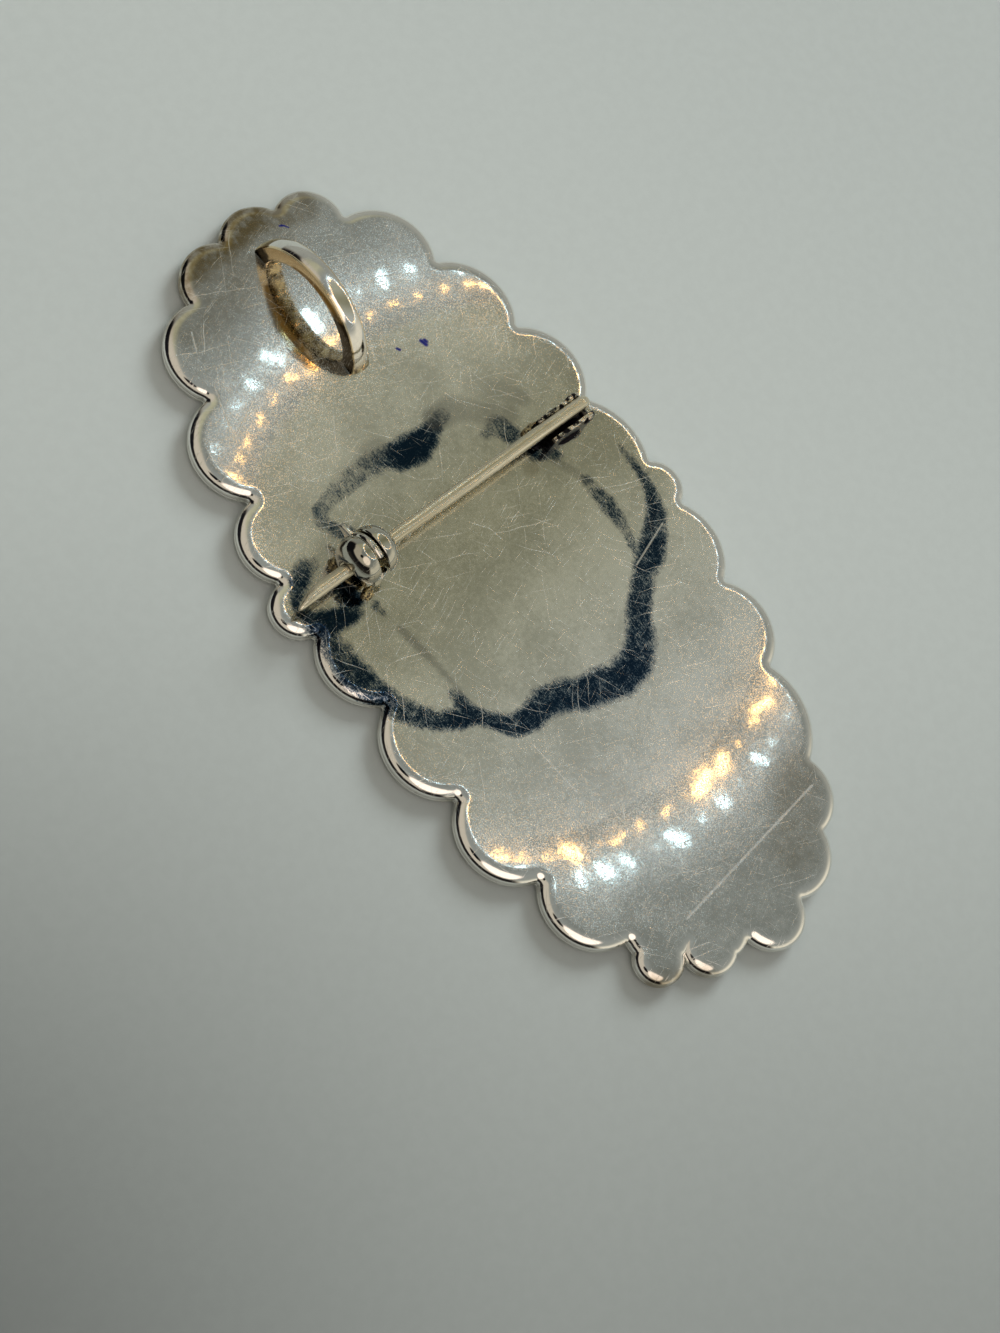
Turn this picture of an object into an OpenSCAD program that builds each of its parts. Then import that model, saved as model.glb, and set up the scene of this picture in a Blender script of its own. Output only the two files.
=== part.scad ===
// Pendant brooch seen from the back: a scalloped silver plate with a bail, a pin, its hinge and a ball catch.
// Millimetres. +Z is up from the ground, +Y runs along the plate towards the bail, +X is to the hinge side.
// The plate lies face down: its front rests on z = 0 and the fittings stand on its back.

/* [Back plate] */

// Length of the plate over its end lobes
plate_length = 75.65; // [72:0.05:80]

// Width of the plate over its widest lobes
plate_width = 38; // [36.5:0.1:40]

// Thickness of the plate from front to back
plate_thickness = 1.8; // [1.6:0.1:2.4]

// Radius of the rounding along the plate's rim, back and front
rim_radius = 0.7; // [0.3:0.05:0.75]

/* [Bail] */

// Length of plate that the bail's arch spans, over the outsides of its feet
bail_span = 13.6; // [12.8:0.1:14.4]

// Height of the bail's arch above the plate
bail_height = 5.15; // [4.6:0.05:5.8]

// Thickness of the bail's strip at its middle ridge
bail_thickness = 1.6; // [1:0.05:1.8]

// Width of the bail's strip
bail_width = 1.8; // [1.4:0.1:2.6]

// How far the crown of the strip's outer face stands above its edges
bail_crown = 0.2; // [0.1:0.05:0.4]

/* [Pin] */

// Diameter of the pin's wire
wire_diameter = 1.15; // [0.9:0.05:1.2]

// Length of the stem from the rivet's axis to the point
stem_length = 32; // [29:0.5:34]

// Height of the stem's axis above the plate
stem_height = 2.15; // [2.1:0.05:2.2]

// Length of the tapered point
point_length = 4; // [3:0.5:6]

// Angle that the pin is turned from straight across the plate, in degrees
pin_turn = 2.1; // [0:0.1:4]

/* [Hinge] */

// Length of the hinge channel
channel_length = 5; // [4.4:0.1:6]

// Height of the hinge channel
channel_height = 2.2; // [2.1:0.05:2.4]

// Thickness of the channel's side walls
channel_wall = 0.4; // [0.3:0.05:0.5]

// Radius of the rivet
rivet_radius = 0.35; // [0.25:0.05:0.4]

/* [Catch] */

// Greatest radius of the catch ball about the pin
ball_radius = 2.2; // [2.1:0.05:2.25]

// Distance from the hinge's rivet to the middle of the catch
catch_distance = 24.4; // [22:0.1:25]

// Thickness of the lever's disc
lever_thickness = 0.72; // [0.5:0.02:0.8]

// Distance from the pin's axis to the end of the lever's tab
tab_reach = 3.3; // [3:0.1:3.8]

/* [Hidden] */

$fn = 96;

// Solids that are joined run this far into each other, and cutting shapes this far past what they cut
overlap = 0.1;
cut_margin = 1;

// Plate and rim
design_length = 75.65;
design_width = 38;
stretch_x = plate_width / design_width;
stretch_y = plate_length / design_length;
stretch_mean = (stretch_x + stretch_y) / 2;
inset = 1.5;

// Columns of the outline table: notch position, then how far the next lobe stands out from its chord
NOTCH_X = 0;
NOTCH_Y = 1;
BULGE = 2;
outline = [
    [-2.05, 36.175, 1.6], [3.95, 36.275, 2.2], [8.85, 32.775, 2.6], [13.25, 25.375, 2.3],
    [15.55, 16.975, 2.3], [16.55, 8.475, 1.2], [17.65, 1.075, 1.4], [17.55, -3.425, 1.6],
    [16.05, -10.925, 2.2], [14.45, -18.925, 1.6], [11.85, -27.125, 1.5], [8.65, -32.325, 1.6],
    [3.05, -35.425, 2.3], [-2.95, -35.625, 1], [-7.15, -31.925, 1], [-11.35, -29.525, 2.9],
    [-14.55, -21.525, 3], [-15.75, -12.525, 3], [-15.65, -3.225, 2.2], [-16.75, 4.475, 2.4],
    [-16.45, 9.475, 2.4], [-14.05, 16.375, 3.2], [-11.75, 25.275, 2.8], [-7.75, 32.975, 1.9]
];

// Columns of the tongue table: centre and radius of each round that builds the two tongues beside the deep slit
TONGUE_X = 0;
TONGUE_Y = 1;
TONGUE_R = 2;
tongues = [
    [-6.15, -33.7, 2.5], [-4.5, -33.2, 2.5], [-5, -31.4, 3],
    [-10.4, -32.1, 2.15], [-8.85, -30.25, 2.9]
];

// Bail
bail_x = 0.75;
bail_y = 27.3;
bail_sink = 0.9;
bail_outer_radius = (bail_span * bail_span / 4 + bail_height * bail_height) / (2 * bail_height);
bail_inner_radius = bail_outer_radius - bail_thickness;
bail_drop = bail_outer_radius - bail_height;
bail_start = asin((bail_drop - bail_sink) / bail_outer_radius);
crown_radius = (bail_width * bail_width / 4 + bail_crown * bail_crown) / (2 * bail_crown);

// Pin, in the pin's own frame: the rivet's axis is along Y, the stem runs towards -X
rivet_x = 14.05;
rivet_y = 7.925;
wire_radius = wire_diameter / 2;
eye_bend = 0.6;
eye_wire = 0.55;
eye_play = 0.05;
eye_bore = rivet_radius + eye_play;
eye_drop = 0.03;
rivet_height = stem_height - eye_bend - eye_drop;
point_radius = 0.12;
point_tilt = 5;

// Hinge channel, in the pin's own frame
channel_end = 0.75;
channel_side = -0.2;
channel_gap = 1.6;
channel_floor = 0.25;
channel_corner = 0.6;
channel_width = channel_gap + 2 * channel_wall;
pad_height = 0.22;
pad_margin = 0.35;
pad_tail = 0.9;
head_gap = 0.02;
rivet_hole = rivet_radius + head_gap;
head_radius = 0.55;
head_height = 0.2;

// Catch, in the pin's own frame with its middle at the origin
bead_radius = 1.45;
bead_offset = 0.78;
lever_play = 0.06;
slit = lever_thickness + 2 * lever_play;
pin_play = 0.145;
bore_radius = wire_radius + pin_play;
mouth_turn = 10;
foot_height = 0.6;
foot_radius = 1.9;
foot_top = 1.3;
foot_clear = 0.06;
lever_sink = 0.15;
lever_radius = ball_radius - lever_sink;
lever_gap_turn = 140;
tab_root = 1.4;
tab_low = 0.5;
tab_high = 0.3;
tab_round = (tab_low + tab_high) / 2;

function notch(k) = [
    outline[k % len(outline)][NOTCH_X] * stretch_x,
    outline[k % len(outline)][NOTCH_Y] * stretch_y
];
function chord(k) = notch(k + 1) - notch(k);
function outward(k) = [-chord(k)[1], chord(k)[0]] / norm(chord(k));
function bulge(k) = outline[k][BULGE] * stretch_mean;
function lobe_radius(k) = (pow(norm(chord(k)), 2) / 4 + pow(bulge(k), 2)) / (2 * bulge(k));
function lobe_centre(k) = (notch(k) + notch(k + 1)) / 2 + outward(k) * (bulge(k) - lobe_radius(k));
function corner_normal(k) = outward(k) + outward((k + len(outline) - 1) % len(outline));
function inner_corner(k) = notch(k) - inset * corner_normal(k) / norm(corner_normal(k));

// Round disc of the plate's thickness with its rim rounded back and front
module rimmed_disc(radius) {
    rotate_extrude() {
        square([radius - rim_radius, plate_thickness]);
        translate([0, rim_radius]) square([radius, plate_thickness - 2 * rim_radius]);
        intersection() {
            union() {
                translate([radius - rim_radius, rim_radius]) circle(rim_radius);
                translate([radius - rim_radius, plate_thickness - rim_radius]) circle(rim_radius);
            }
            square([radius + cut_margin, plate_thickness]);
        }
    }
}

// Scalloped plate: one disc for each lobe around a flat middle
module back_plate() {
    linear_extrude(plate_thickness) {
        polygon([for (k = [0:len(outline) - 1]) inner_corner(k)]);
    }
    for (k = [0:len(outline) - 1]) {
        translate(lobe_centre(k)) rimmed_disc(lobe_radius(k));
    }
    for (t = tongues) {
        translate([t[TONGUE_X] * stretch_x, t[TONGUE_Y] * stretch_y]) rimmed_disc(t[TONGUE_R]);
    }
}

// Section of the bail's strip, flat inside and crowned outside
module bail_section() {
    intersection() {
        translate([bail_inner_radius, -bail_width / 2]) square([bail_thickness, bail_width]);
        translate([bail_outer_radius - crown_radius, 0]) circle(crown_radius);
    }
}

// Round arch standing in line with the plate's length, its centre a little below the plate's back
module bail() {
    translate([bail_x, bail_y, plate_thickness - bail_drop]) rotate([90, 0, 90]) {
        rotate([0, 0, bail_start]) rotate_extrude(angle = 180 - 2 * bail_start) bail_section();
    }
}

// Places its children in the pin's own frame on the plate's back
module at_pin() {
    translate([rivet_x, rivet_y, plate_thickness]) rotate([0, 0, pin_turn]) children();
}

// Side wall of the channel in outline, with rounded upper corners
module wall_outline() {
    left = channel_end - channel_length;
    translate([left, -overlap]) {
        square([channel_length, channel_height - channel_corner + overlap]);
    }
    translate([left + channel_corner, 0]) {
        square([channel_length - 2 * channel_corner, channel_height]);
    }
    for (x = [left + channel_corner, channel_end - channel_corner]) {
        translate([x, channel_height - channel_corner]) circle(channel_corner);
    }
}

// Channel with a floor, two walls bored for the rivet, and a thin solder pad under it
module hinge_channel() {
    left = channel_end - channel_length;
    at_pin() translate([0, channel_side, 0]) {
        difference() {
            for (side = [-1, 1]) {
                translate([0, side * (channel_gap + channel_wall) / 2 + channel_wall / 2, 0]) {
                    rotate([90, 0, 0]) linear_extrude(channel_wall) wall_outline();
                }
            }
            translate([0, channel_width, rivet_height]) {
                rotate([90, 0, 0]) cylinder(h = 2 * channel_width, r = rivet_hole);
            }
        }
        translate([left, -channel_width / 2, -overlap]) {
            cube([channel_length, channel_width, channel_floor + overlap]);
        }
        translate([left - pad_tail, -channel_width / 2 - pad_margin, -overlap]) {
            cube([channel_length + pad_tail, channel_width + 2 * pad_margin, pad_height + overlap]);
        }
    }
}

// Places its children with the pin's axis as +Z and the plate's side of the mouth as -Y, at the catch's middle
module at_catch() {
    at_pin() translate([-catch_distance, 0, stem_height]) rotate([90, 0, 90]) children();
}

// One half of the catch ball in section, from the bore outwards
module bead_section() {
    intersection() {
        translate([ball_radius - bead_radius, bead_offset]) circle(bead_radius);
        translate([bore_radius, slit / 2]) square([ball_radius, ball_radius + bead_offset]);
    }
}

// Ball in two halves on a solder foot, bored for the pin and open to one side
module catch_ball() {
    reach = ball_radius + cut_margin;
    difference() {
        union() {
            at_catch() rotate_extrude() {
                bead_section();
                mirror([0, 1]) bead_section();
            }
            at_pin() translate([-catch_distance, 0, -overlap]) difference() {
                cylinder(h = foot_height + overlap, r1 = foot_radius, r2 = foot_top);
                translate([-slit / 2, -foot_radius, overlap + foot_clear]) {
                    cube([slit, 2 * foot_radius, foot_height]);
                }
            }
        }
        at_catch() rotate([0, 0, 180 + mouth_turn]) translate([0, -bore_radius, -reach]) {
            cube([reach, 2 * bore_radius, 2 * reach]);
        }
        at_catch() translate([0, 0, -reach]) {
            cylinder(h = 2 * reach, r = bore_radius);
        }
    }
}

// Plate, bail, hinge channel and catch, soldered into one
module silver_body() {
    color([0.78, 0.77, 0.72]) {
        back_plate();
        bail();
        hinge_channel();
        catch_ball();
    }
}

// Rivet with a low domed head on each side of the channel
module hinge_rivet() {
    reach = channel_width / 2 + head_gap;
    color([0.5, 0.47, 0.4]) at_pin() {
        translate([0, channel_side, rivet_height]) rotate([90, 0, 0]) {
            translate([0, 0, -reach - overlap]) {
                cylinder(h = 2 * (reach + overlap), r = rivet_radius);
            }
            for (side = [0, 180]) {
                rotate([0, side, 0]) translate([0, 0, reach]) {
                    cylinder(h = head_height, r1 = head_radius, r2 = rivet_radius);
                }
            }
        }
    }
}

// Straight wire with an eye coiled round the rivet and a point bevelled from above
module pin_stem() {
    shank = stem_length - point_length;
    rise = stem_height - rivet_height;
    color([0.75, 0.73, 0.68]) at_pin() difference() {
        union() {
            translate([0, 0, rivet_height]) rotate([90, 0, 0]) {
                rotate_extrude() translate([eye_bend, 0]) intersection() {
                    circle(eye_wire);
                    translate([rivet_radius - eye_bend, -eye_wire]) square(2 * eye_wire);
                }
            }
            translate([0, 0, rivet_height + rise]) rotate([0, -90, 0]) {
                cylinder(h = shank, r = wire_radius);
            }
            translate([-shank, 0, rivet_height + rise]) {
                sphere(wire_radius);
                rotate([0, -90 - point_tilt, point_tilt]) {
                    cylinder(h = point_length, r1 = wire_radius, r2 = point_radius);
                }
            }
        }
        translate([0, channel_width, rivet_height]) rotate([90, 0, 0]) {
            cylinder(h = 2 * channel_width, r = eye_bore);
        }
    }
}

// Disc with a rounded rim and a gap that lets the pin out, and a short tab to turn it by
module catch_lever() {
    half = lever_thickness / 2;
    color([0.8, 0.79, 0.74]) at_catch() difference() {
        union() {
            rotate_extrude() {
                translate([bore_radius, -half]) {
                    square([lever_radius - half - bore_radius, lever_thickness]);
                }
                translate([lever_radius - half, 0]) circle(half);
            }
            translate([0, 0, -half]) linear_extrude(lever_thickness) {
                translate([tab_root, -tab_low]) {
                    square([tab_reach - tab_root - tab_round, 2 * tab_round]);
                }
                translate([tab_reach - tab_round, tab_round - tab_low]) circle(tab_round);
            }
        }
        rotate([0, 0, lever_gap_turn]) translate([0, -bore_radius, -lever_thickness]) {
            cube([lever_radius + cut_margin, 2 * bore_radius, 2 * lever_thickness]);
        }
        translate([0, 0, -lever_thickness]) cylinder(h = 2 * lever_thickness, r = bore_radius);
    }
}

silver_body();
hinge_rivet();
pin_stem();
catch_lever();
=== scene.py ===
import bpy
import numpy as np
from mathutils import Matrix, Vector
from mathutils.geometry import delaunay_2d_cdt


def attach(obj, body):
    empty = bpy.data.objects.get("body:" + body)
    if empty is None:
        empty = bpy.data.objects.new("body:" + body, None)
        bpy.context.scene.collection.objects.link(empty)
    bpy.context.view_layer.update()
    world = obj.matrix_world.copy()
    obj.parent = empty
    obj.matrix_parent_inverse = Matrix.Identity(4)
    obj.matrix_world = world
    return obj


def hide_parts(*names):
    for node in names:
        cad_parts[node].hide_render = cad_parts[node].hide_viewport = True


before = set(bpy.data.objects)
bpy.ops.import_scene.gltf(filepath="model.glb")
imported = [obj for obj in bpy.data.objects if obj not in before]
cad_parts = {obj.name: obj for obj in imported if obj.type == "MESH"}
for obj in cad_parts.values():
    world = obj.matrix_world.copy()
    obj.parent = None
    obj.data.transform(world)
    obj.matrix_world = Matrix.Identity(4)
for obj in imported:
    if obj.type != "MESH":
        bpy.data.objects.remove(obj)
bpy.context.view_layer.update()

# Back plate: a thick scalloped sheet of sterling silver, lying face down.
# It is sawn and filed to rounded lobes and its rim is rounded over and polished; the back keeps a satin,
# scratched face with blue-black tarnish where it was heated.

# lengths here are in mm, and a mesh takes them in metres
MM = 0.001
PLATE_TOP = 1.8
RIM_RADIUS = 0.7
# width of the shoulder from the plate's side to its flat back, which is as high as the rim's radius
SHOULDER = 1.25
# points along the round of the front, the shoulder, each lobe and each notch
FRONT_STEPS = 9
SHOULDER_STEPS = 19
LOBE_STEPS = 20
NOTCH_STEPS = 7
# height and depth of the fine seam round the side
SEAM = np.array([(0.74, 0.0), (0.79, 0.02), (0.83, 0.05), (0.87, 0.02), (0.92, 0.0), (1.0, 0.0)])
# distance between the points of the back's lattice along a row, and between its rows
LATTICE = 0.42
LATTICE_ROW = 0.364

# notch x, notch y, bulge of the lobe that follows
LOBES = np.array([
    (-2.05, 36.175, 1.6), (3.95, 36.275, 2.2), (8.85, 32.775, 2.6), (13.25, 25.375, 2.3),
    (15.55, 16.975, 2.3), (16.55, 8.475, 1.2), (17.65, 1.075, 1.4), (17.55, -3.425, 1.6),
    (16.05, -10.925, 2.2), (14.45, -18.925, 1.6), (11.85, -27.125, 1.5), (8.65, -32.325, 1.6),
    (3.05, -35.425, 2.3), (-2.95, -35.625, 1.0), (-7.15, -31.925, 1.0), (-11.35, -29.525, 2.9),
    (-14.55, -21.525, 3.0), (-15.75, -12.525, 3.0), (-15.65, -3.225, 2.2), (-16.75, 4.475, 2.4),
    (-16.45, 9.475, 2.4), (-14.05, 16.375, 3.2), (-11.75, 25.275, 2.8), (-7.75, 32.975, 1.9),
])
# centre x, centre y and radius of the rounds along the two tongues beside the deep slit, which take the
# place of the two lobes from the 14th on
TONGUES = np.array([
    (-4.5, -33.2, 2.5), (-6.15, -33.7, 2.5), (-5.0, -31.4, 3.0),
    (-8.85, -30.25, 2.9), (-10.4, -32.1, 2.15), (-8.85, -30.25, 2.9),
])
FIRST_TONGUE = 13
NOTCH_RADIUS = 0.2


def lobe_circles(table):
    """Circle of each lobe: it passes through the lobe's two notches and stands out from their chord by the
    bulge."""
    start = table[:, :2]
    chord = np.roll(start, -1, axis=0) - start
    length = np.linalg.norm(chord, axis=1)[:, None]
    outward = np.c_[-chord[:, 1], chord[:, 0]] / length
    bulge = table[:, 2:3]
    radius = (length**2 / 4 + bulge**2) / (2 * bulge)
    return np.c_[start + chord / 2 + outward * (bulge - radius), radius]


def turned(middle, start, end, sense, share):
    """Directions from middle at each share of the turn from start to end; sense 1 is counter-clockwise."""
    a = np.arctan2(*(start - middle).T[::-1])[:, None]
    b = np.arctan2(*(end - middle).T[::-1])[:, None]
    angle = a + sense * ((sense * (b - a)) % (2 * np.pi)) * share
    return np.stack([np.cos(angle), np.sin(angle)], -1)


def outline(circles, cut):
    """Edge of the joined rounds, drawn in from the full size by cut, one row for each cut. Clockwise, each
    lobe is an arc of its round's radius less the cut, and each notch between two rounds is an arc of the
    notch's radius plus the cut about a centre that lies outside, one notch radius from both rounds."""
    centre, radius = circles[:, :2], circles[:, 2]
    step = np.roll(centre, -1, axis=0) - centre
    gap = np.linalg.norm(step, axis=1)
    unit = step / gap[:, None]
    left = np.c_[-unit[:, 1], unit[:, 0]]
    near, far = radius + NOTCH_RADIUS, np.roll(radius, -1) + NOTCH_RADIUS
    along = (gap**2 + near**2 - far**2) / (2 * gap)
    notch = centre + along[:, None] * unit + np.sqrt(near**2 - along**2)[:, None] * left
    lobe = turned(centre, np.roll(notch, 1, axis=0), notch, -1, np.linspace(0, 1, LOBE_STEPS))
    hollow = turned(notch, centre, np.roll(centre, -1, axis=0), 1, np.linspace(0, 1, NOTCH_STEPS + 2)[1:-1])
    d = np.asarray(cut)[:, None, None, None]
    lobes = centre[:, None] + (radius[:, None, None] - d) * lobe
    hollows = notch[:, None] + (NOTCH_RADIUS + d) * hollow
    return np.concatenate([lobes, hollows], axis=2).reshape(len(cut), -1, 2)


def within(points, ring):
    """Which points lie inside a closed ring: a line from them to +X crosses it an odd number of times."""
    x, y = points.T
    x0, y0 = ring.T[:, :, None]
    x1, y1 = np.roll(ring, -1, axis=0).T[:, :, None]
    at = x0 + (y - y0) * (x1 - x0) / np.where(y1 == y0, 1, y1 - y0)
    return (((y0 > y) != (y1 > y)) & (x < at)).sum(0) % 2 == 1


def ring_faces(rows, columns):
    """Quads between closed rings of points that are numbered ring by ring."""
    r = np.arange(rows - 1)[:, None] * columns
    c = np.arange(columns)[None, :]
    following = (c + 1) % columns
    return np.stack([r + c, r + following, r + columns + following, r + columns + c], -1).reshape(-1, 4)


def mesh_object(name, points, faces, material):
    """Object in the scene from points in mm and lists of faces."""
    mesh = bpy.data.meshes.new(name)
    mesh.from_pydata((points * MM).tolist(), [], [list(map(int, f)) for f in faces])
    mesh.materials.append(material)
    made = bpy.data.objects.new(name, mesh)
    bpy.context.scene.collection.objects.link(made)
    return made


def new_piece(name, points, faces, material, sharp, body="brooch", nodes=("silver_body",), slot="silver"):
    """Object that is smooth but for edges sharper than sharp degrees, on its body in place of the nodes."""
    piece = mesh_object(name, points, faces, material)
    piece.data.shade_smooth()
    piece.data.set_sharp_from_angle(angle=np.radians(sharp))
    piece.data.validate()
    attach(piece, body)
    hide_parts(*nodes)
    return piece


def keep_values(piece, **fields):
    """Gives the piece's mesh one value for each point under each name, for its material to read."""
    for name, value in fields.items():
        layer = piece.data.attributes.new(name, "FLOAT", "POINT")
        layer.data.foreach_set("value", np.asarray(value).ravel().astype(np.float32))


class Nodes:
    """Short way to add nodes to a material or a group and join them."""

    def __init__(self, tree):
        self.tree = tree

    def add(self, kind, values=None, **settings):
        node = self.tree.nodes.new(kind)
        for key, value in settings.items():
            setattr(node, key, value)
        for key, value in (values or {}).items():
            self.put(node.inputs[key], value)
        return node

    def put(self, socket, value):
        if isinstance(value, bpy.types.NodeSocket):
            self.tree.links.new(value, socket)
        else:
            socket.default_value = value

    def math(self, operation, a, b=0.0, clamp=False):
        return self.add("ShaderNodeMath", {0: a, 1: b}, operation=operation, use_clamp=clamp).outputs[0]

    def times(self, a, b):
        return self.math("MULTIPLY", a, b)

    def plus(self, total, *terms):
        for term in terms:
            total = self.math("ADD", total, term)
        return total

    def largest(self, most, *others):
        for other in others:
            most = self.math("MAXIMUM", most, other)
        return most

    def swing(self, noise, reach):
        """Noise less its middle, times reach."""
        return self.times(self.math("SUBTRACT", noise, 0.5), reach)

    def vector(self, operation, a, b=None, scale=None):
        values = {key: value for key, value in ((0, a), (1, b), ("Scale", scale)) if value is not None}
        node = self.add("ShaderNodeVectorMath", values, operation=operation)
        return node.outputs["Value" if operation in ("DOT_PRODUCT", "LENGTH") else "Vector"]

    def split(self, vector):
        return self.add("ShaderNodeSeparateXYZ", {0: vector}).outputs

    def rotated(self, vector, angle):
        values = {"Vector": vector, "Angle": angle}
        return self.add("ShaderNodeVectorRotate", values, rotation_type="Z_AXIS").outputs[0]

    def span(self, value, low, high, out_low=0.0, out_high=1.0):
        """Smooth step from out_low to out_high as the value goes from low to high."""
        limits = {"Value": value, "From Min": low, "From Max": high, "To Min": out_low, "To Max": out_high}
        return self.add("ShaderNodeMapRange", limits, interpolation_type="SMOOTHSTEP").outputs["Result"]

    def mix(self, factor, a, b, kind="RGBA"):
        values = {"Factor": factor, "A": a, "B": b}
        return self.add("ShaderNodeMix", values, data_type=kind).outputs["Result"]

    def noise(self, vector, scale, detail=2.0, roughness=0.5, distortion=0.0):
        values = {"Vector": vector, "Scale": scale, "Detail": detail, "Roughness": roughness,
                  "Distortion": distortion}
        return self.add("ShaderNodeTexNoise", values).outputs["Fac"]

    def group(self, tree, values):
        return self.add("ShaderNodeGroup", values, node_tree=tree).outputs[0]

    def place_mm(self):
        """Each point's place in the brooch's frame, in mm."""
        place = self.add("ShaderNodeTexCoord").outputs["Object"]
        return self.vector("SCALE", place, scale=1 / MM)

    def kept(self, name):
        """Value that the mesh keeps for each point under the name."""
        return self.add("ShaderNodeAttribute", attribute_name=name).outputs["Fac"]

    def metal(self, colour, rough, height, strength, metallic=1.0):
        """Makes the surface metal, with a bump of the given height in mm."""
        relief = {"Height": height, "Strength": strength, "Distance": MM}
        look = {"Base Color": colour, "Metallic": metallic, "Roughness": rough}
        look["Normal"] = self.add("ShaderNodeBump", relief).outputs[0]
        self.surface(self.add("ShaderNodeBsdfPrincipled", look).outputs[0])

    def surface(self, shader, output="ShaderNodeOutputMaterial"):
        self.add(output, {"Surface": shader})


def new_material(name):
    """Empty material and the short way to add its nodes."""
    material = bpy.data.materials.new(name)
    material.use_nodes = True
    n = Nodes(material.node_tree)
    n.tree.nodes.clear()
    return material, n


def new_group(name, inputs):
    """Node group with the named inputs and their usual values, and a mask as its output."""
    tree = bpy.data.node_groups.new(name, "ShaderNodeTree")
    for label, value in inputs.items():
        kind = "NodeSocketVector" if isinstance(value, tuple) else "NodeSocketFloat"
        socket = tree.interface.new_socket(label, in_out="INPUT", socket_type=kind)
        socket.default_value = value
    tree.interface.new_socket("Mask", in_out="OUTPUT", socket_type="NodeSocketFloat")
    n = Nodes(tree)
    return tree, n, n.add("NodeGroupInput").outputs, n.add("NodeGroupOutput").inputs


def hairline_group():
    """Fine scratches that run one way: noise stretched along a turned axis, cut to its thin crests."""
    tree, n, given, out = new_group("hairlines", {
        "Position mm": (0, 0, 0), "Turn": 0.0, "Length": 4.0, "Density": 9.0, "Amount": 0.5,
    })
    turned_mm = n.rotated(given["Position mm"], given["Turn"])
    x, y, z = n.split(turned_mm)
    along = n.math("DIVIDE", x, given["Length"])
    bend = n.times(n.noise(turned_mm, 0.3, 1.0), 0.8)
    across = n.times(n.plus(y, bend), given["Density"])
    place = n.add("ShaderNodeCombineXYZ", {0: along, 1: across, 2: z}).outputs[0]
    lines = n.noise(place, 1.0, 1.0, 0.6)
    patches = n.noise(turned_mm, 0.22, 1.0)
    level = n.math("SUBTRACT", 0.80, n.times(n.times(patches, given["Amount"]), 0.36))
    n.put(out[0], n.span(lines, level, n.plus(level, 0.05)))
    return tree


def stroke_group():
    """One drawn line from start to end: full to a quarter of its width on each side, gone at its width."""
    tree, n, given, out = new_group("stroke", {
        "Position mm": (0, 0, 0), "Start": (0, 0, 0), "End": (1, 0, 0), "Width": 0.1,
    })
    line = n.vector("SUBTRACT", given["End"], given["Start"])
    point = n.vector("SUBTRACT", given["Position mm"], given["Start"])
    share = n.math("DIVIDE", n.vector("DOT_PRODUCT", point, line), n.vector("DOT_PRODUCT", line, line),
                   clamp=True)
    away = n.vector("LENGTH", n.vector("SUBTRACT", point, n.vector("SCALE", line, scale=share)))
    n.put(out[0], n.span(away, n.times(given["Width"], 0.25), given["Width"], 1.0, 0.0))
    return tree


HAIRLINES = hairline_group()
STROKE = stroke_group()

DULL_SILVER = (0.58, 0.575, 0.52, 1)
BRIGHT_SILVER = (0.80, 0.79, 0.73, 1)
RIM_SILVER = (0.88, 0.86, 0.80, 1)
RIM_ROUGHNESS = 0.07
PIT_GREY = (0.40, 0.39, 0.34, 1)
STAIN_GREY = (0.12, 0.12, 0.12, 1)
HEAT_BROWN = (0.22, 0.155, 0.06, 1)
SCRATCH_WHITE = (0.95, 0.94, 0.91, 1)
INK_BLUE = (0.005, 0.012, 0.22, 1)
# depth of colour at which each tone of the tarnish begins and is full, its share, and the tone
TARNISH_TONES = [
    (0.02, 0.55, 0.55, (0.24, 0.23, 0.23, 1)),
    (0.30, 0.95, 0.88, (0.020, 0.088, 0.160, 1)),
    (0.62, 1.10, 0.90, (0.0012, 0.009, 0.026, 1)),
]

# turn, length, density and amount of each set of fine scratches
SCRATCH_SETS = [
    (0.35, 9.0, 8.0, 0.46), (1.25, 5.0, 14.0, 0.46), (2.15, 8.0, 9.0, 0.44),
    (2.75, 4.0, 16.0, 0.48), (-0.3, 3.0, 18.0, 0.44), (0.9, 7.0, 10.0, 0.42),
]
# start x, start y, end x, end y and width of the deep scratches on the back
DEEP_SCRATCHES = [
    (10.1, -28.8, -6.6, -30.9, 0.16), (-7.9, -12.6, -7.4, -17.8, 0.09), (-8.7, 23.1, -12.5, 21.0, 0.11),
    (-10.8, 25.6, -12.1, 21.7, 0.09), (-9.4, 30.6, -10.1, 29.0, 0.12), (14.5, -4.0, 10.0, -5.6, 0.12),
]
# start x, start y, end x, end y and width of the small blue ink marks
INK_MARKS = [
    (7.0, 20.1, 7.15, 19.6, 0.30), (7.3, 20.0, 7.35, 19.8, 0.26), (4.7, 20.6, 4.85, 20.4, 0.20),
    (3.1, 34.7, 3.5, 34.5, 0.13), (3.3, 34.7, 3.7, 34.2, 0.10),
]


def drawn_lines(n, mm, table):
    """Mask of the table's lines on the plate's back."""
    return n.largest(*(n.group(STROKE, {"Position mm": mm, "Start": (x0, y0, PLATE_TOP),
                                        "End": (x1, y1, PLATE_TOP), "Width": width})
                       for x0, y0, x1, y1, width in table))


def fine_lines(n, mm):
    """Mask of all the sets of fine scratches."""
    return n.largest(*(n.group(HAIRLINES, {"Position mm": mm, "Turn": turn, "Length": length,
                                           "Density": density, "Amount": amount})
                       for turn, length, density, amount in SCRATCH_SETS))


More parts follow.
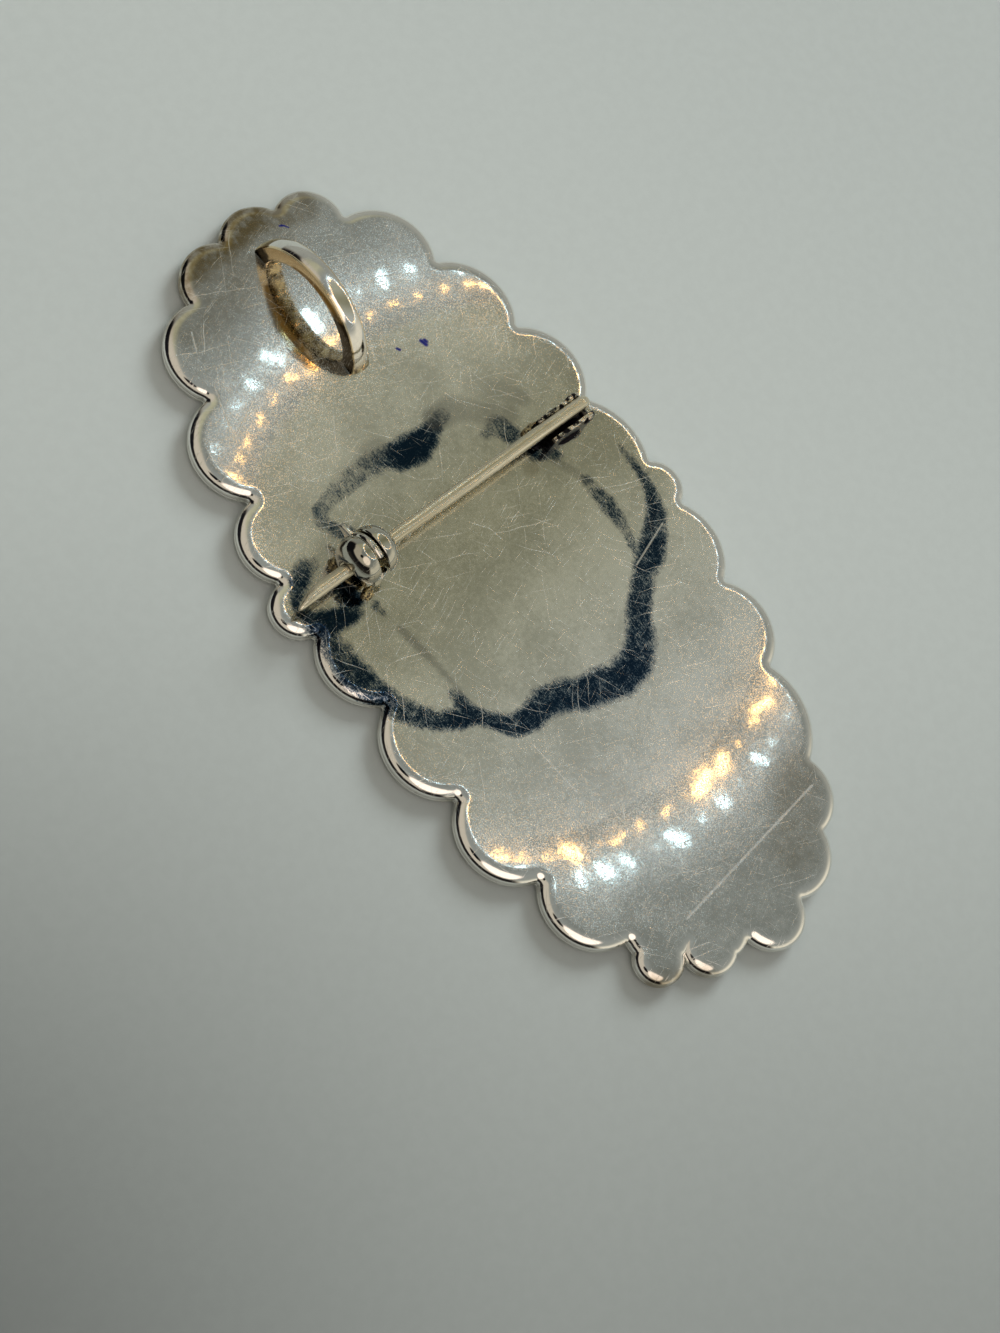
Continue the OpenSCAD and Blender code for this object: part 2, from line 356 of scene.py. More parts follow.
def discoloured(n, mm, silver, grain, speck):
    """Silver under tarnish that goes from haze over blue to black as the mesh's value rises, with an edge
    frayed by noise, under grey stains, and under brown where it was heated; beside the bail all three also
    paint a dark reflection of the bail."""
    tarnish, stain, brown = n.kept("tarnish"), n.kept("stain"), n.kept("brown")
    fray = n.noise(mm, 0.9, 6.0, 0.72, 0.5)
    brushed = n.noise(n.vector("MULTIPLY", mm, (9.0, 1.6, 1.0)), 1.0, 3.0, 0.7)
    edge = n.plus(tarnish, n.swing(fray, 1.7), n.swing(brushed, 1.3), n.swing(speck, 2.1))
    edge = n.times(edge, n.span(tarnish, 0.0, 0.3))
    colour = silver
    for begins, full, share, tone in TARNISH_TONES:
        colour = n.mix(n.times(n.span(edge, begins, full), share), colour, tone)
    soft = n.times(n.plus(stain, n.swing(grain, 0.5)), n.span(stain, 0.02, 0.2))
    colour = n.mix(n.times(n.span(soft, 0.15, 0.9), 0.75), colour, STAIN_GREY)
    patchy = n.times(brown, n.span(n.noise(mm, 0.8, 4.0, 0.65), 0.30, 0.62, 0.55, 1.15))
    return n.mix(n.math("MULTIPLY", patchy, 0.9, clamp=True), colour, HEAT_BROWN)


def plate_material():
    """Satin silver with pits and scratches, polished at the rim, and waved a little by its making."""
    material, n = new_material("satin_silver_back")
    mm = n.place_mm()
    polish = n.kept("polish")
    cloud = n.noise(mm, 0.16, 3.0, 0.6)
    grain = n.noise(mm, 2.6, 4.0, 0.65)
    speck = n.noise(mm, 9.0, 3.0, 0.7)
    mottle = n.plus(n.times(cloud, 0.6), n.times(grain, 0.4))
    silver = n.mix(n.span(mottle, 0.36, 0.64), DULL_SILVER, BRIGHT_SILVER)
    silver = n.mix(n.span(speck, 0.58, 0.70, 0.0, 0.35), silver, PIT_GREY)
    silver = n.mix(polish, silver, RIM_SILVER)
    colour = discoloured(n, mm, silver, grain, speck)
    scratches = n.largest(fine_lines(n, mm), drawn_lines(n, mm, DEEP_SCRATCHES))
    ink = drawn_lines(n, mm, INK_MARKS)
    colour = n.mix(n.times(scratches, 0.55), colour, SCRATCH_WHITE)
    colour = n.mix(ink, colour, INK_BLUE)

    rough = n.plus(n.span(cloud, 0.25, 0.75, 0.035, 0.06), n.span(speck, 0.47, 0.58, 0.0, 0.23),
                   n.times(n.span(grain, 0.5, 0.7), 0.05), n.times(scratches, 0.24))
    rough = n.mix(polish, rough, RIM_ROUGHNESS, kind="FLOAT")
    height = n.plus(n.times(scratches, -0.004), n.times(n.noise(mm, 0.35, 2.0), 0.013),
                    n.times(n.noise(mm, 0.95, 2.0), 0.005), n.times(grain, 0.001), n.times(speck, 0.0003))
    metallic = n.math("SUBTRACT", 1.0, n.times(ink, 0.6))
    n.metal(colour, rough, height, 0.7, metallic)
    return material


# x, y, half-width and depth of colour along each tarnish stroke; the stroke beside the bail is a painted
# reflection
TARNISH = [
    [(-2.9, 13.5, 0.8, 0.85), (-1.4, 12.9, 1.15, 1.25), (0.2, 12.7, 1.25, 1.3), (1.7, 12.95, 0.95, 1.2),
     (3.1, 13.4, 0.6, 0.9), (4.2, 13.8, 0.6, 0.5)],
    [(-3.0, 13.5, 0.95, 0.72), (-5.8, 13.4, 0.9, 0.55), (-8.2, 13.1, 0.75, 0.45), (-10.3, 12.5, 0.6, 0.45),
     (-10.6, 11.4, 0.55, 0.6), (-9.9, 10.4, 0.6, 0.85), (-9.0, 9.6, 0.5, 0.85)],
    [(-13.5, 9.3, 0.5, 0.5), (-14.2, 9.4, 0.65, 0.85), (-15.2, 8.8, 0.8, 1.0), (-16.2, 8.0, 0.55, 0.9),
     (-16.9, 7.0, 0.4, 0.85)],
    [(-16.9, 6.4, 0.5, 0.9), (-16.5, 5.3, 0.85, 1.1), (-15.4, 4.6, 0.95, 1.2), (-14.3, 4.4, 0.8, 1.2),
     (-13.2, 4.2, 0.7, 1.0)],
    [(-12.8, 6.4, 0.9, 1.0), (-12.6, 5.2, 0.9, 1.1)],
    [(-11.4, 3.7, 0.4, 0.65), (-11.3, 3.0, 0.35, 0.6)],
    [(-16.4, 4.4, 0.8, 0.85), (-16.5, 3.1, 0.9, 0.85), (-16.4, 1.6, 1.1, 0.95), (-16.5, 0.3, 1.15, 1.0),
     (-16.3, -1.0, 1.1, 1.0), (-15.9, -2.4, 1.0, 0.95), (-15.2, -4.1, 0.95, 0.95), (-14.3, -5.5, 0.9, 1.0),
     (-13.2, -6.7, 0.8, 1.05), (-11.7, -7.6, 0.75, 1.1), (-10.4, -7.9, 0.65, 1.1), (-9.5, -9.1, 0.6, 1.0),
     (-8.2, -10.6, 0.8, 1.05), (-6.4, -10.8, 0.95, 1.1), (-4.4, -10.4, 1.2, 1.0), (-2.9, -10.9, 1.2, 1.05),
     (-1.5, -11.7, 1.2, 1.1), (0.2, -12.0, 1.3, 1.1), (2.1, -12.5, 1.35, 1.1), (4.3, -12.1, 1.25, 1.05),
     (6.0, -10.8, 1.15, 1.0), (7.1, -9.1, 0.95, 1.0), (8.8, -7.6, 0.9, 1.0), (10.2, -6.4, 0.95, 1.05),
     (11.7, -5.5, 1.1, 1.05), (13.3, -4.3, 0.95, 1.0), (14.7, -2.9, 0.8, 1.0), (15.5, -1.2, 0.55, 0.95),
     (15.9, 0.5, 0.4, 0.85), (15.9, 2.0, 0.3, 0.75), (15.9, 3.3, 0.25, 0.6)],
    [(-10.7, -5.6, 0.4, 0.7), (-10.6, -6.9, 0.65, 1.0)],
    [(6.3, 10.5, 0.5, 0.55), (7.7, 10.6, 0.9, 0.6), (8.2, 9.3, 0.8, 0.85)],
    [(9.0, 6.9, 0.7, 0.9), (10.5, 5.8, 0.5, 0.8)],
    # painted reflection: the bail's dark mirror image on the plate, beside the bail
    [(-1.8, 29.2, 0.25, 0.7), (-2.4, 27.4, 0.4, 0.95), (-2.7, 25.2, 0.35, 0.9), (-2.7, 23.7, 0.25, 0.7)],
    [(11.2, 2.7, 0.5, 0.5), (11.3, 1.2, 0.65, 0.7), (11.4, -0.3, 0.75, 0.75), (11.3, -1.8, 0.6, 0.6),
     (11.0, -3.5, 0.4, 0.5), (10.7, -5.0, 0.35, 0.5)],
]
# the same four for the grey stains, and for the painted reflection beside the bail
STAINS = [
    [(8.0, 12.0, 0.9, 0.5), (9.3, 10.8, 0.9, 0.5)],
    [(10.0, 5.4, 0.5, 0.5), (10.8, 3.9, 0.5, 0.45), (11.2, 2.3, 0.5, 0.4)],
    [(-10.9, 1.0, 0.45, 0.55), (-10.5, -1.6, 0.45, 0.55), (-10.2, -4.2, 0.35, 0.5), (-10.0, -6.4, 0.3, 0.4)],
    [(3.4, 13.9, 1.1, 0.65), (5.4, 13.8, 1.4, 0.5), (6.7, 12.9, 1.2, 0.45), (7.6, 11.6, 0.9, 0.5)],
    [(8.2, 14.6, 1.2, 0.35), (10.0, 13.0, 1.2, 0.4), (11.2, 11.4, 0.9, 0.45)],
    [(-2.4, 14.4, 1.0, 0.45), (-6.0, 14.0, 1.1, 0.35)],
    [(-12.9, 8.6, 1.4, 0.4), (-11.0, 9.8, 1.2, 0.4)],
    [(-12.0, 2.2, 1.4, 0.35), (-13.8, 1.0, 1.4, 0.3)],
    # painted reflection: the bail's dark mirror image on the plate, beside the bail
    [(-1.3, 30.4, 0.35, 1.2), (-1.7, 29.5, 0.45, 1.5), (-2.5, 27.2, 0.55, 1.5), (-2.9, 24.8, 0.5, 1.4),
     (-2.8, 23.4, 0.35, 1.0)],
]
# the same for the browned edges and spots, and for the painted reflection beside the bail; a spot has its row
# twice
BROWNED = [
    [(-10.8, 33.2, 1.6, 0.6), (-7.5, 35.3, 2.0, 0.8), (-3.5, 36.4, 2.4, 0.9), (1.0, 37.0, 2.2, 0.9),
     (5.5, 35.6, 1.8, 0.6)],
    [(-9.0, 31.0, 2.0, 0.35), (-4.0, 33.0, 2.6, 0.45), (2.0, 33.5, 2.2, 0.35)],
    [(-8.6, -36.0, 1.4, 0.6), (-12.5, -34.0, 1.4, 0.7)],
    [(9.5, -27.5, 2.0, 0.4), (5.0, -32.0, 2.0, 0.35)],
    [(7.7, 6.1, 0.7, 0.4), (7.7, 6.1, 0.7, 0.4)],
    # painted reflection: the bail's dark mirror image on the plate, beside the bail
    [(-1.3, 30.4, 0.5, 0.9), (-2.2, 27.2, 0.8, 1.0), (-2.6, 24.8, 0.7, 1.0), (-2.5, 23.0, 0.4, 0.8)],
]
# half-widths at which a stroke has faded out
STROKE_REACH = 1.6


def stroke_field(points, strokes):
    """Depth of colour at each point: it falls with the distance to a stroke's line over the half-width there,
    from full depth at the middle to nothing at the stroke's reach, and the deepest stroke wins."""
    field = np.zeros(len(points))
    for stroke in strokes:
        rows = np.array(stroke)
        for a, b in zip(rows[:-1], rows[1:]):
            line = b[:2] - a[:2]
            share = np.clip((points - a[:2]) @ line / max(line @ line, 1e-9), 0, 1)
            away = np.linalg.norm(points - a[:2] - share[:, None] * line, axis=1)
            half = a[2] + share * (b[2] - a[2])
            depth = a[3] + share * (b[3] - a[3])
            fall = np.clip(STROKE_REACH - away / half, 0, 1)
            field = np.maximum(field, depth * fall * fall * (3 - 2 * fall))
    return field


def back_plate():
    """Rim and front as rings of the outline, each drawn in and raised: a quarter circle at the front, a fine
    seam, and a quarter ellipse up to the back, wider than it is high. The flat back is a lattice of points
    inside the last ring, joined to it by Delaunay triangles, and keeps the depth of colour at each point."""
    circles = lobe_circles(LOBES)
    circles = np.vstack([circles[:FIRST_TONGUE], TONGUES, circles[FIRST_TONGUE + 2:]])
    low, high = np.linspace(-np.pi / 2, 0, FRONT_STEPS), np.linspace(0, np.pi / 2, SHOULDER_STEPS)
    cut = np.r_[RIM_RADIUS * (1 - np.cos(low)), SEAM[:, 1], SHOULDER * (1 - np.cos(high))]
    height = np.r_[RIM_RADIUS * (1 + np.sin(low)), SEAM[:, 0], PLATE_TOP - RIM_RADIUS * (1 - np.sin(high))]
    rings = outline(circles, cut)
    rows, columns = rings.shape[:2]
    rise = np.broadcast_to(height[:, None, None], (rows, columns, 1))
    rim = np.concatenate([rings, rise], -1).reshape(-1, 3)
    x, y = np.meshgrid(np.arange(-18, 18.1, LATTICE), np.arange(-37, 37.1, LATTICE_ROW))
    x[::2] += LATTICE / 2
    lattice = np.c_[x.ravel(), y.ravel()]
    lattice = lattice[within(lattice, outline(circles, [SHOULDER + 0.25])[0])]
    flat = np.vstack([rings[-1], lattice])
    edge = list(range(columns))[::-1]
    triangles = delaunay_2d_cdt([Vector(p) for p in flat], [], [edge], 1, 1e-7)[2]
    points = np.vstack([rim, np.c_[lattice, np.full(len(lattice), PLATE_TOP)]])
    faces = [list(f) for f in ring_faces(rows, columns)[:, ::-1]] + [list(range(columns))]
    faces += [[(rows - 1) * columns + v for v in f] for f in triangles]
    plate = new_piece("back_plate", points, faces, plate_material(), 50)
    drawn_in = np.r_[np.repeat(cut, columns), np.full(len(lattice), SHOULDER)]
    raised = points[:, 2] > PLATE_TOP - 0.6
    flat_places = points[:, :2]
    keep_values(plate,
                # the stroke fields carry tarnish, stains and heat brown, and beside the bail a painted
                # reflection of it
                tarnish=stroke_field(flat_places, TARNISH) * raised,
                stain=stroke_field(flat_places, STAINS) * raised,
                brown=stroke_field(flat_places, BROWNED),
                polish=np.where(raised, np.clip((SHOULDER - 0.2 - drawn_in) / 0.5, 0, 1), 1.0))


back_plate()

# Bail: a round arch of stout half-round strip for a chain, standing on the back near its upper end.
# It is bent from silver, domed outside and flat inside, and both its feet swell a little into the solder.

BAIL_CENTRE = (0.75, 27.3)
BAIL_SPAN = 13.6
BAIL_HEIGHT = 5.15
BAIL_THICKNESS = 1.6
BAIL_WIDTH = 1.7
BAIL_CROWN = 0.2
BAIL_SILVER = (0.84, 0.82, 0.76, 1)
# height in which the swelling of the feet falls to a third, and how much they widen and thicken
FOOT_FADE = 0.55
FOOT_WIDER = 0.28
FOOT_THICKER = 0.22
BRASSY = (0.82, 0.65, 0.38, 1)
BURNT = (0.16, 0.10, 0.04, 1)
SOOT = (0.018, 0.013, 0.008, 1)
POLISH_LINE = (0.95, 0.94, 0.9, 1)
# points along the arc of each rounded corner of a section
CORNER_STEPS = 5


def polished_material(name, colour, roughness, lines, wear, sooty=False):
    """Polished silver with faint hairlines; when asked, it is yellowed and burnt, and blackened with painted
    shade and a painted dark reflection, by the values that its mesh keeps."""
    material, n = new_material(name)
    mm = n.place_mm()
    hair = n.group(HAIRLINES, {"Position mm": mm, "Length": 3.0, "Density": 14.0, "Amount": 0.8})
    cloud = n.noise(mm, 0.8, 3.0, 0.6)
    base = n.mix(n.span(cloud, 0.3, 0.75), colour, tuple(c * 0.86 for c in colour[:3]) + (1,))
    if sooty:
        soot = n.plus(n.kept("soot"), n.swing(n.noise(mm, 1.6, 3.0), 0.8))
        blotch = n.span(n.noise(mm, 2.2, 4.0, 0.7), 0.44, 0.58)
        warm = n.mix(n.times(blotch, n.kept("burnt")), BRASSY, BURNT)
        base = n.mix(n.times(n.kept("brassy"), 0.9), base, warm)
        # painted shade and dark reflection: black laid into the colour
        base = n.mix(n.span(soot, 0.35, 0.75, 0.0, 0.93), base, SOOT)
    base = n.mix(n.times(hair, lines), base, POLISH_LINE)
    rough = n.plus(n.span(cloud, 0.3, 0.7, roughness, roughness + 0.06), n.times(hair, 0.12))
    height = n.plus(n.times(hair, -0.004), n.times(n.noise(mm, 1.1, 1.0), wear))
    n.metal(base, rough, height, 0.5)
    return material


def rounded_loop(corners, radii):
    """Closed outline through corners in order, each replaced by an arc tangent to both its sides."""
    loop = []
    corners = np.array(corners, float)
    for k, r in enumerate(radii):
        p, before, after = corners[k], corners[k - 1], corners[(k + 1) % len(corners)]
        u, v = before - p, after - p
        u, v = u / np.linalg.norm(u), v / np.linalg.norm(v)
        half = np.arccos(np.clip(u @ v, -1, 1)) / 2
        trim = r / np.tan(half)
        bisector = (u + v) / np.linalg.norm(u + v)
        centre = p + bisector * r / np.sin(half)
        a, b = p + u * trim - centre, p + v * trim - centre
        t = np.linspace(0, 1, CORNER_STEPS)[:, None]
        spread = np.arccos(np.clip(a @ b / (r * r), -1, 1))
        loop.append(centre + (np.sin((1 - t) * spread) * a + np.sin(t * spread) * b) / np.sin(spread))
    return np.vstack(loop)


def capped(rows, columns, flip=False):
    """Faces of a tube of closed rings with a flat lid at each end."""
    last = (rows - 1) * columns
    lids = [list(range(columns))[::-1], [last + i for i in range(columns)]]
    faces = [list(f) for f in ring_faces(rows, columns)] + lids
    return [f[::-1] for f in faces] if flip else faces


def ring_piece(name, rings, material, sharp, flip=False, **where):
    """Piece whose skin joins closed rings of points one after the other."""
    rows, columns = rings.shape[:2]
    return new_piece(name, rings.reshape(-1, 3), capped(rows, columns, flip), material, sharp, **where)


def bail():
    """Strip section carried round an arc whose centre lies below the plate's back; towards the feet it widens
    and thickens as exp(-height). All but its outside is brassy, and its inside and feet are burnt. Painted
    shade blackens its sides near the feet, and a painted dark reflection blackens its catch side along the
    lower half."""
    outer = (BAIL_SPAN**2 / 4 + BAIL_HEIGHT**2) / (2 * BAIL_HEIGHT)
    drop = outer - BAIL_HEIGHT
    w, t = BAIL_WIDTH / 2, BAIL_THICKNESS
    across = np.linspace(-w, w, 17)
    crown = np.c_[-BAIL_CROWN * (across / w) ** 2, across]
    inner = rounded_loop([(-BAIL_CROWN, w), (-t, w), (-t, -w), (-BAIL_CROWN, -w)], [0.08, 0.3, 0.3, 0.08])
    section = np.vstack([crown[1:-1], inner])
    begin = np.arcsin((drop - 0.5) / outer)
    angle = np.linspace(begin, np.pi - begin, 97)[:, None]
    height = np.clip(outer * np.sin(angle) - drop, 0, None)
    swell = np.exp(-height / FOOT_FADE)
    radius = outer + section[:, 0] * (1 + FOOT_THICKER * swell)
    rings = np.stack([section[:, 1] * (1 + FOOT_WIDER * swell), radius * np.cos(angle),
                      radius * np.sin(angle) - drop], -1)
    material = polished_material("polished_bail", BAIL_SILVER, 0.06, lines=0.3, wear=0.012, sooty=True)
    piece = ring_piece("bail", rings + np.array([*BAIL_CENTRE, PLATE_TOP]), material, 35)
    beside = np.abs(section[:, 1]) > w - 0.05
    catch_side = (section[:, 1] < 0.05 - w) * np.where(section[:, 0] < -0.6, 1.0, 0.6)
    # painted shade on both sides near the feet, and a painted dark reflection on the catch side's lower half
    soot = np.maximum(beside * np.clip((2.1 - height) / 1.1, 0, 1),
                      catch_side * np.clip((angle - 1.8) / 0.35, 0, 1.3))
    brassy = (section[:, 0] < -0.12) + np.clip((1.2 - height) / 0.8, 0, 1)
    burnt = (section[:, 0] < 0.1 - t) + np.clip((2.0 - height) / 1.4, 0, 1)
    keep_values(piece, soot=soot, brassy=np.clip(brassy, 0, 1), burnt=np.clip(burnt, 0, 1))


bail()

# Pin hinge: a small U-shaped joint of plated brass with a rivet across its walls, soldered to the back.
# Soldering has blackened it, and a lip of yellowish solder stands along its foot.

PIN_TURN = np.radians(2.1)
RIVET = (14.05, 7.925)
RIVET_HEIGHT = 1.52
RIVET_RADIUS = 0.35
HEAD_RADIUS = 0.55
HEAD_HEIGHT = 0.2
CHANNEL_LENGTH = 5.0
CHANNEL_END = 0.75
CHANNEL_SIDE = -0.2
CHANNEL_GAP = 1.6
CHANNEL_WALL = 0.4
CHANNEL_FLOOR = 0.25
CHANNEL_HEIGHT = 2.2
CHANNEL_CORNER = 0.6
# how far the solder and the hinge's floor reach into the plate
SUNK = 0.15
SOLDER_DARK = (0.03, 0.03, 0.035, 1)
SOLDER_BRASS = (0.62, 0.50, 0.27, 1)
OXIDE_BLACK = (0.012, 0.011, 0.014, 1)
WORN_BRIGHT = (0.72, 0.66, 0.55, 1)


def moved(points, turn, x, y, z=0.0):
    """Points turned about the upright and then moved by x, y and z."""
    c, s = np.cos(turn), np.sin(turn)
    px, py, pz = np.moveaxis(points, -1, 0)
    return np.stack([x + c * px - s * py, y + s * px + c * py, z + pz], -1)


def in_pin_frame(points):
    """Points from the pin's own frame (rivet at the origin, plate's back at height 0) to the brooch's."""
    return moved(points, PIN_TURN, *RIVET, PLATE_TOP)


def ripples(points, size, reach, seed):
    """Soft unevenness: the mean of six sine waves in seeded directions, reach mm high."""
    chance = np.random.default_rng(seed)
    waves = chance.normal(size=(6, 3)) / size
    phase = chance.uniform(0, 2 * np.pi, 6)
    return (reach * np.sin(points.reshape(-1, 3) @ waves.T + phase).mean(1)).reshape(points.shape[:-1])


def solder_material():
    """Rough brassy solder, darkened in its hollows."""
    material, n = new_material("brassy_solder")
    lumps = n.noise(n.place_mm(), 3.2, 3.0, 0.6)
    colour = n.mix(n.span(lumps, 0.35, 0.62), SOLDER_DARK, SOLDER_BRASS)
    n.metal(colour, n.span(lumps, 0.3, 0.7, 0.45, 0.22), n.times(lumps, 0.25), 0.8)
    return material


def oxidised_material():
    """Blackened metal with worn bright spots along its high edges, which also paint the glints there."""
    material, n = new_material("oxidised_hinge")
    mm = n.place_mm()
    worn = n.noise(mm, 1.7, 3.0, 0.6)
    top = n.span(n.split(mm)[2], PLATE_TOP + 1.75, PLATE_TOP + CHANNEL_HEIGHT)
    # worn metal and painted glint: the walls' tops are lighter in colour
    bright = n.times(top, n.span(worn, 0.46, 0.56))
    rough = n.mix(bright, 0.3, 0.16, kind="FLOAT")
    n.metal(n.mix(bright, OXIDE_BLACK, WORN_BRIGHT), rough, n.times(worn, 0.2), 0.6)
    return material


SOLDER = solder_material()
OXIDISED = oxidised_material()


def mound(name, x, y, long, wide, high, turn, seed, material):
    """Low dome of solder on the plate: rings that rise as 1 - r^3 over a wobbly oval, with ripples, closed
    underneath."""
    share = np.linspace(1, 0.02, 12)[:, None]
    angle = np.linspace(0, 2 * np.pi, 40, endpoint=False)[None, :]
    wobble = 1 + 0.10 * np.sin(3 * angle + seed) + 0.06 * np.sin(5 * angle + 2 * seed)
    rise = high * (1 - share**3) + 0 * angle
    dome = np.stack([long * share * wobble * np.cos(angle), wide * share * wobble * np.sin(angle), rise], -1)
    dome[..., 2] += ripples(dome, 0.22, high * 0.3, seed) * (1 - share)
    under = dome[:1].copy()
    under[..., 2] = -SUNK
    rings = moved(np.concatenate([under, dome]), turn, x, y)
    ring_piece(name, in_pin_frame(rings), material, 60)


def hinge_channel():
    """U-shaped section carried along the pin's line; the walls drop in a quarter round at both ends."""
    w, g, t, h = CHANNEL_GAP / 2 + CHANNEL_WALL, CHANNEL_GAP / 2, CHANNEL_FLOOR, CHANNEL_HEIGHT
    section = rounded_loop([(-w, -SUNK), (w, -SUNK), (w, h), (g, h), (g, t), (-g, t), (-g, h), (-w, h)],
                           [0.05, 0.05, 0.14, 0.14, 0.2, 0.2, 0.14, 0.14])
    corner, start = CHANNEL_CORNER, CHANNEL_END - CHANNEL_LENGTH
    ease = corner * (1 - np.cos(np.linspace(0, np.pi / 2, 9)))
    middle = np.linspace(start + corner, CHANNEL_END - corner, 22)[1:-1]
    x = np.r_[start + ease, middle, CHANNEL_END - ease[::-1]]
    near = np.minimum(np.clip(x - start, 0, corner), np.clip(CHANNEL_END - x, 0, corner))
    drop = corner - np.sqrt(np.clip(corner**2 - (corner - near) ** 2, 0, None))
    y = np.broadcast_to(section[:, 0], (len(x), len(section)))
    z = np.where(section[:, 1] > 1.2, section[:, 1] - drop[:, None], section[:, 1])
    rings = np.stack([np.broadcast_to(x[:, None], y.shape), y + CHANNEL_SIDE, z], -1)
    rings[..., 2] += ripples(rings, 0.5, 0.07, 3) * (rings[..., 2] > 0.4)
    ring_piece("hinge_channel", in_pin_frame(rings), OXIDISED, 50)


def rivet():
    """Shank and two domed heads turned about the rivet's axis: radius against distance along the axis."""
    reach = CHANNEL_GAP / 2 + CHANNEL_WALL + 0.02
    pole = 0.002
    dome = np.linspace(0, np.pi / 2, 8)
    head = np.c_[HEAD_RADIUS * np.cos(dome) + pole, reach + HEAD_HEIGHT * np.sin(dome)]
    profile = np.vstack([
        (pole, -reach - HEAD_HEIGHT), (head * (1, -1))[::-1], (HEAD_RADIUS, -reach), (RIVET_RADIUS, -reach),
        (RIVET_RADIUS, reach), (HEAD_RADIUS, reach), head, (pole, reach + HEAD_HEIGHT),
    ])
    angle = np.linspace(0, 2 * np.pi, 32, endpoint=False)
    r, along = profile[:, :1], profile[:, 1:]
    y = along + 0 * angle + CHANNEL_SIDE
    rings = np.stack([r * np.cos(angle), y, RIVET_HEIGHT + r * np.sin(angle)], -1)
    ring_piece("hinge_rivet_heads", in_pin_frame(rings), OXIDISED, 40, flip=True, nodes=("hinge_rivet",),
               slot="rivet")


hinge_channel()
rivet()
mound("hinge_solder_pad", -1.9, -0.15, 2.9, 1.45, 0.22, 0.0, 5, OXIDISED)
mound("hinge_solder_tail", -4.2, 0.85, 1.15, 0.6, 0.55, 0.3, 8, SOLDER)

# Pin stem: a straight drawn wire of nickel silver, curled round the rivet at one end and ground to a point
# at the other. It lies through the catch when the brooch is closed.

WIRE_RADIUS = 0.575
WIRE_SIDES = 24
EYE_RADIUS = 0.6
EYE_WIRE_RADIUS = 0.55
STEM_LENGTH = 32.0
POINT_LENGTH = 2.6
WIRE_LIGHT = (0.76, 0.71, 0.57, 1)
WIRE_DARK = (0.56, 0.50, 0.35, 1)
WIRE_STAIN = (0.42, 0.36, 0.24, 1)


def wire_material():
    """Drawn wire: fine lines along its length, and a warm grey tone."""
    material, n = new_material("drawn_wire")
    mm = n.place_mm()
    turned_mm = n.rotated(mm, -float(PIN_TURN))
    drawn = n.noise(n.vector("MULTIPLY", turned_mm, (0.12, 7.0, 7.0)), 1.0, 3.0, 0.6)
    colour = n.mix(n.span(drawn, 0.35, 0.65), WIRE_LIGHT, WIRE_DARK)
    colour = n.mix(n.span(n.noise(mm, 0.7, 3.0, 0.6), 0.55, 0.8, 0.0, 0.4), colour, WIRE_STAIN)
    n.metal(colour, n.span(drawn, 0.3, 0.7, 0.2, 0.34), n.times(drawn, 0.05), 0.6, 0.86)
    return material


def tube(path, radius, up):
    """Round wire along a path: at each point a circle of the given radius across the path's direction."""
    direction = np.gradient(path, axis=0)
    direction /= np.linalg.norm(direction, axis=1)[:, None]
    side = np.cross(direction, up)
    side /= np.linalg.norm(side, axis=1)[:, None]
    rise = np.cross(side, direction)
    angle = np.linspace(0, 2 * np.pi, WIRE_SIDES, endpoint=False)
    ring = side[:, None] * np.cos(angle)[None, :, None] + rise[:, None] * np.sin(angle)[None, :, None]
    return path[:, None] + ring * radius[:, None, None]


def pin_stem():
    """Wire path: two thirds of the way round the rivet from a rounded end, then straight to the point, where
    the wire thins as near^1.6 and its middle moves to one side, so that only the other is ground away."""
    turn = np.linspace(-2.6, np.pi / 2, 46)
    eye = np.c_[EYE_RADIUS * np.cos(turn), 0 * turn, RIVET_HEIGHT + EYE_RADIUS * np.sin(turn)]
    shank = STEM_LENGTH - POINT_LENGTH
    x = np.r_[np.linspace(0, shank, 70)[1:], shank + POINT_LENGTH * np.linspace(0, 1, 22)[1:]]
    near = np.clip((x - shank) / POINT_LENGTH, 0, 1)
    ease = np.clip(x / 2.0, 0, 1) ** 2
    thin = 1 - 0.72 * near**1.6
    line = np.c_[-x, -0.55 * (1 - thin), RIVET_HEIGHT + EYE_RADIUS + 0.03 * ease - 0.12 * (1 - thin)]
    path = np.vstack([eye, line])
    radius = np.r_[np.full(len(turn), EYE_WIRE_RADIUS), WIRE_RADIUS * thin * np.sqrt(1.02 - near**14)]
    radius[: len(turn)] += (WIRE_RADIUS - EYE_WIRE_RADIUS) * np.linspace(0, 1, len(turn))
    back = path[0] - path[1]
    back /= np.linalg.norm(back)
    bend = np.linspace(0, np.pi / 2, 6)[4:0:-1]
    path = np.vstack([path[:1] + (back * 0.3) * np.sin(bend)[:, None], path])
    radius = np.r_[EYE_WIRE_RADIUS * np.cos(bend), radius]
    rings = tube(path, radius, np.array([0.0, 1.0, 0.0]))
    ring_piece("pin_wire", in_pin_frame(rings), wire_material(), 50, body="pin", nodes=("pin_stem",),
               slot="wire")


pin_stem()

# Ball catch: a silver ball in two halves on a solder foot, bored for the pin and open to one side.
# The lever turns in the slit between the halves; its rim closes the mouth and its tab is pushed with a nail.

CATCH_DISTANCE = 24.4
# height of the pin's axis above the plate's back
STEM_HEIGHT = 2.15
BALL_RADIUS = 2.2
BEAD_RADIUS = 1.45
BEAD_OFFSET = 0.78
LEVER_THICKNESS = 0.72
SLIT = LEVER_THICKNESS + 0.12
BORE = 0.72
MOUTH = np.radians(190)
LEVER_GAP = np.radians(140)
LEVER_RADIUS = BALL_RADIUS - 0.05
RING_STEPS = 64
# the tab's ends, measured from the pin's axis, and half its height at the root
TAB_ROOT = 1.4
TAB_TIP = 3.3
TAB_HEIGHT = 0.66
TAB_ROWS = 16
TAB_SIDES = 20
TAB_SQUARENESS = 0.65
BALL_SILVER = (0.55, 0.53, 0.45, 1)
LEVER_SILVER = (0.68, 0.66, 0.58, 1)


